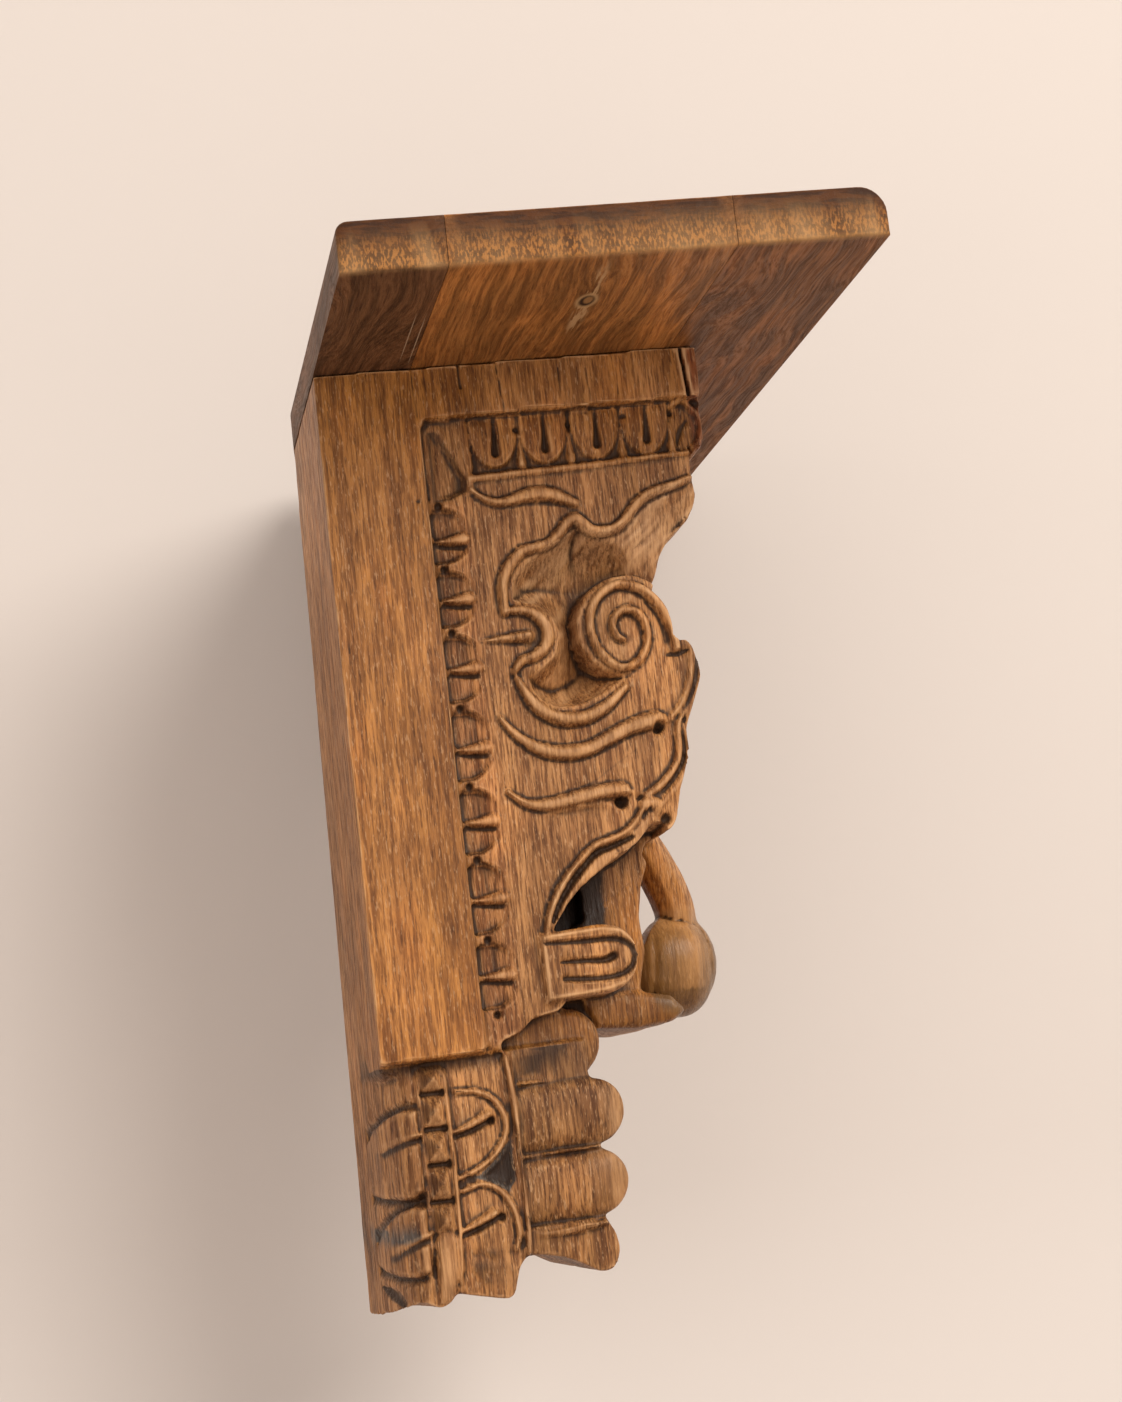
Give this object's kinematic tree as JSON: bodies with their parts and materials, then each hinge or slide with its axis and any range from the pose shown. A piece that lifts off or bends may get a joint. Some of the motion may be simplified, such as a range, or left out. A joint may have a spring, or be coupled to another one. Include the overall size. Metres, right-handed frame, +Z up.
{
  "type": "carved wall bracket",
  "caption": "Carved wall bracket: an old timber corbel with leaf scroll, scalloped borders and hanging bud under a shelf board glued from strips.",
  "frame": {"origin": "on the corbel's flat back face, at the middle of its thickness at the top, 240 mm below the shelf's underside at the wall", "axes": "+X out from the wall, -Y towards the carved side that the picture shows, +Z up"},
  "size_m": [0.272, 0.42, 0.5245],
  "materials": {
    "old_carved_wood": "old hardwood, waxed and worn, golden brown on the plain frame and browner in the carving",
    "shelf_back_wood": "dark figured hardwood, satin",
    "shelf_middle_wood": "red brown hardwood with a knot, satin",
    "shelf_front_wood": "mid brown hardwood, satin"
  },
  "bodies": {
    "root": {"carved_corbel": "old_carved_wood", "shelf_board_back": "shelf_back_wood", "shelf_board_middle": "shelf_middle_wood", "shelf_board_front": "shelf_front_wood"}
  },
  "joints": []
}
